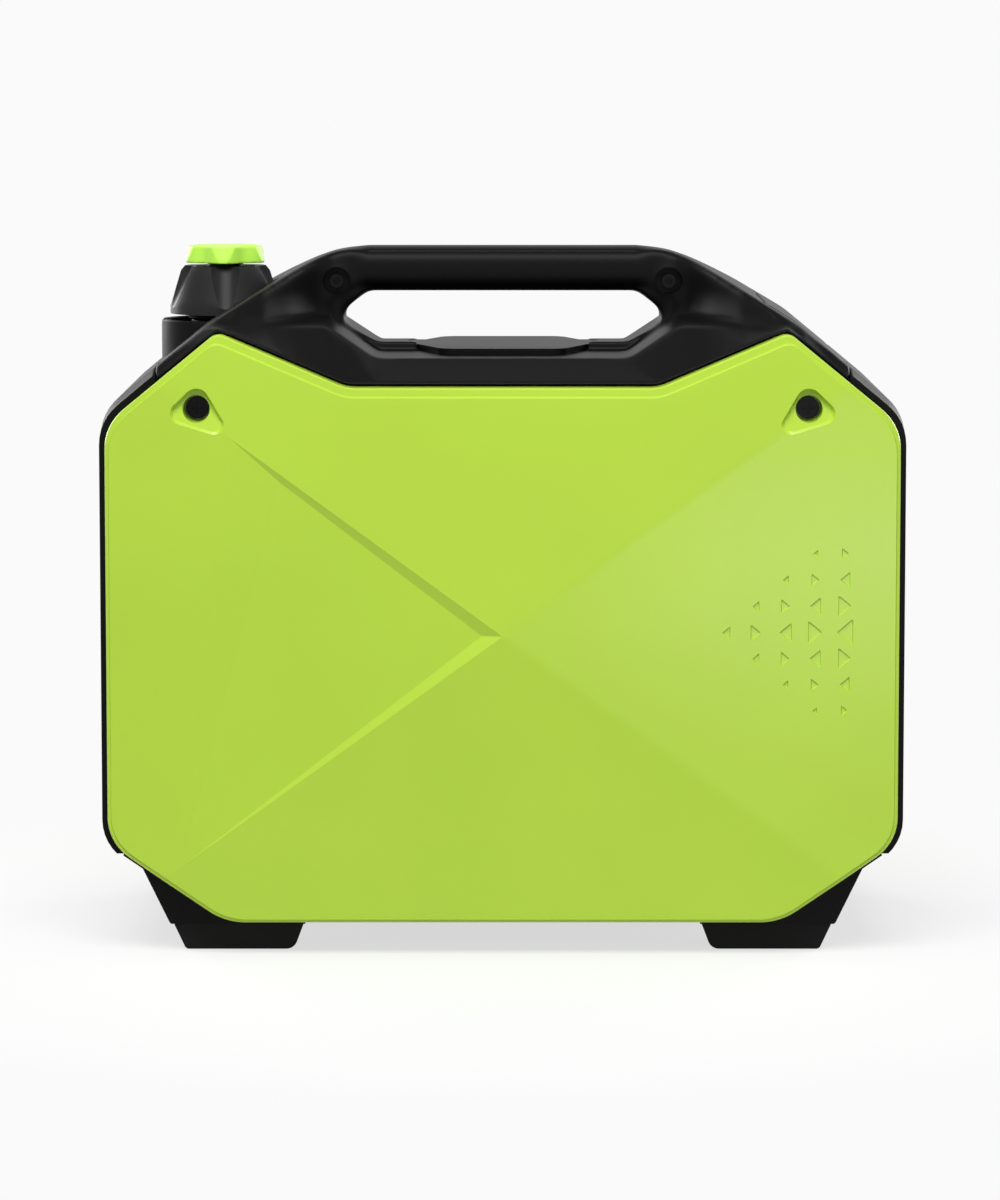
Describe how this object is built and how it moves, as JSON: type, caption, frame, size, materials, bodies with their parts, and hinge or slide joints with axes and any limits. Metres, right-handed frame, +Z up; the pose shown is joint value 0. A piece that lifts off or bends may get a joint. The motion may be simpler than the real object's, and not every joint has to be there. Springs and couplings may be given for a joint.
{
  "type": "inverter generator",
  "caption": "Portable suitcase inverter generator with a moulded shell, carrying handle, control end, recoil starter and a four-stroke engine inside.",
  "frame": {"origin": "floor under the middle of the body", "axes": "+X from the control end to the exhaust end along the handle, +Y from the pictured panel to the starter panel, +Z up"},
  "size_m": [0.5, 0.29, 0.437],
  "materials": {
    "green_plastic": "moulded, low sheen",
    "lime_plastic": "moulded, satin",
    "black_plastic": "moulded, fine grain",
    "black_rubber": "matte",
    "bare_steel": "zinc plated",
    "black_steel": "black oxide",
    "brass_fitting": "turned",
    "cast_alloy": "die cast",
    "hot_steel": "heat-proof coating",
    "lamp_glass": "clear",
    "rope_fibre": "braided",
    "filter_foam": "open-cell foam"
  },
  "bodies": {
    "generator": {"base_pan": "black_plastic", "rubber_feet": "black_rubber", "front_side_panel": "green_plastic", "rear_side_panel": "green_plastic", "panel_screws": "black_steel", "front_handle_half": "black_plastic", "rear_handle_half": "black_plastic", "handle_bolts": "black_steel", "handle_nuts": "black_steel", "control_end_cover": "black_plastic", "exhaust_end_cover": "black_plastic", "cover_screws": "black_steel", "filler_collar": "black_plastic", "control_plate": "black_plastic", "ac_outlets": "black_plastic", "dc_socket": "black_plastic", "usb_ports": "black_plastic", "indicator_lamps": "lamp_glass", "ground_terminal": "brass_fitting", "fuel_tank": "black_plastic", "fuel_hose": "black_rubber", "engine_mounts": "black_rubber", "crankcase": "cast_alloy", "crankcase_cover": "cast_alloy", "cylinder_block": "cast_alloy", "cylinder_head": "cast_alloy", "valve_cover": "cast_alloy", "main_bearings": "bare_steel", "spark_plug": "bare_steel", "spark_plug_boot": "black_rubber", "carburettor": "cast_alloy", "air_box": "black_plastic", "air_filter": "filter_foam", "muffler": "hot_steel", "exhaust_pipe": "hot_steel", "stator": "bare_steel", "fan_shroud": "black_plastic", "recoil_housing": "bare_steel", "starter_rope": "rope_fibre", "inverter_unit": "black_plastic"},
    "fuel_cap_core": {"cap_core": "black_plastic", "cap_gasket": "black_rubber"},
    "fuel_cap": {"fuel_cap": "black_plastic"},
    "vent_knob": {"vent_knob": "lime_plastic"},
    "spark_plug_cover": {"spark_plug_cover": "black_plastic"},
    "starter_grip": {"starter_grip": "black_plastic"},
    "starter_reel": {"starter_reel": "black_plastic"},
    "crank": {"crankshaft": "bare_steel", "flywheel_rotor": "bare_steel", "cooling_fan": "black_plastic"},
    "piston": {"piston": "cast_alloy", "gudgeon_pin": "bare_steel"},
    "connecting_rod": {"connecting_rod": "cast_alloy"},
    "throttle_valve": {"throttle_valve": "brass_fitting"},
    "choke_valve": {"choke_valve": "brass_fitting"},
    "engine_switch": {"engine_switch": "lime_plastic"},
    "eco_switch": {"eco_switch": "black_plastic"},
    "breaker_button": {"breaker_button": "black_plastic"},
    "dc_flap": {"dc_flap": "black_rubber"},
    "oil_filler_cap": {"oil_filler_cap": "black_plastic"}
  },
  "joints": [
    {"name": "fuel_cap_lift", "type": "slide", "parent": "generator", "child": "fuel_cap_core", "axis": [0, 0, 1], "range_m": [0, 0.06]},
    {"name": "fuel_cap_turn", "type": "hinge", "parent": "fuel_cap_core", "child": "fuel_cap", "pos_m": [-0.178, 0, 0.4], "axis": [0, 0, 1], "range_deg": [0, 90]},
    {"name": "vent_knob_turn", "type": "hinge", "parent": "fuel_cap", "child": "vent_knob", "pos_m": [-0.178, 0, 0.4], "axis": [0, 0, 1], "range_deg": [0, 90]},
    {"name": "spark_cover_lift", "type": "slide", "parent": "generator", "child": "spark_plug_cover", "axis": [0, 0, 1], "range_m": [0, 0.03]},
    {"name": "starter_pull", "type": "slide", "parent": "generator", "child": "starter_grip", "axis": [0, 1, 0], "range_m": [0, 0.5], "deforming": ["starter_rope"]},
    {"name": "starter_reel_spin", "type": "hinge", "parent": "generator", "child": "starter_reel", "pos_m": [0.06, 0.1, 0.13], "axis": [0, -1, 0], "range_deg": [0, 1105]},
    {"name": "crank_spin", "type": "hinge", "parent": "generator", "child": "crank", "pos_m": [0.06, 0, 0.13], "axis": [0, 1, 0], "continuous": true},
    {"name": "piston_slide", "type": "slide", "parent": "generator", "child": "piston", "axis": [-0.342, 0, 0.9397], "range_m": [-0.04, 0]},
    {"name": "rod_swing", "type": "hinge", "parent": "piston", "child": "connecting_rod", "pos_m": [0.03093, -0.019, 0.20987], "axis": [0, 1, 0], "range_deg": [-18, 18]},
    {"name": "throttle_turn", "type": "hinge", "parent": "generator", "child": "throttle_valve", "pos_m": [-0.03435, -0.019, 0.22549], "axis": [0, 1, 0], "range_deg": [0, 80]},
    {"name": "engine_switch_turn", "type": "hinge", "parent": "generator", "child": "engine_switch", "pos_m": [-0.228, -0.058, 0.208], "axis": [-1, 0, 0], "range_deg": [0, 90]},
    {"name": "choke_turn", "type": "hinge", "parent": "generator", "child": "choke_valve", "pos_m": [-0.0569, -0.019, 0.21728], "axis": [0, 1, 0], "range_deg": [0, 90]},
    {"name": "eco_switch_rock", "type": "hinge", "parent": "generator", "child": "eco_switch", "pos_m": [-0.227, -0.06, 0.142], "axis": [0, 1, 0], "range_deg": [0, 14]},
    {"name": "breaker_press", "type": "slide", "parent": "generator", "child": "breaker_button", "axis": [1, 0, 0], "range_m": [0, 0.004], "stiffness_N_per_m": 200},
    {"name": "dc_flap_open", "type": "hinge", "parent": "generator", "child": "dc_flap", "pos_m": [-0.2386, 0.06, 0.158], "axis": [0, 1, 0], "range_deg": [0, 110]},
    {"name": "oil_cap_turn", "type": "hinge", "parent": "generator", "child": "oil_filler_cap", "pos_m": [0.10819, -0.019, 0.10285], "axis": [0, -1, 0], "range_deg": [0, 360]}
  ],
  "couplings": [
    {"joint": "starter_reel_spin", "follows": "starter_pull", "rad_per_m": 38.462},
    {"joint": "choke_turn", "follows": "engine_switch_turn", "ratio": 1}
  ]
}
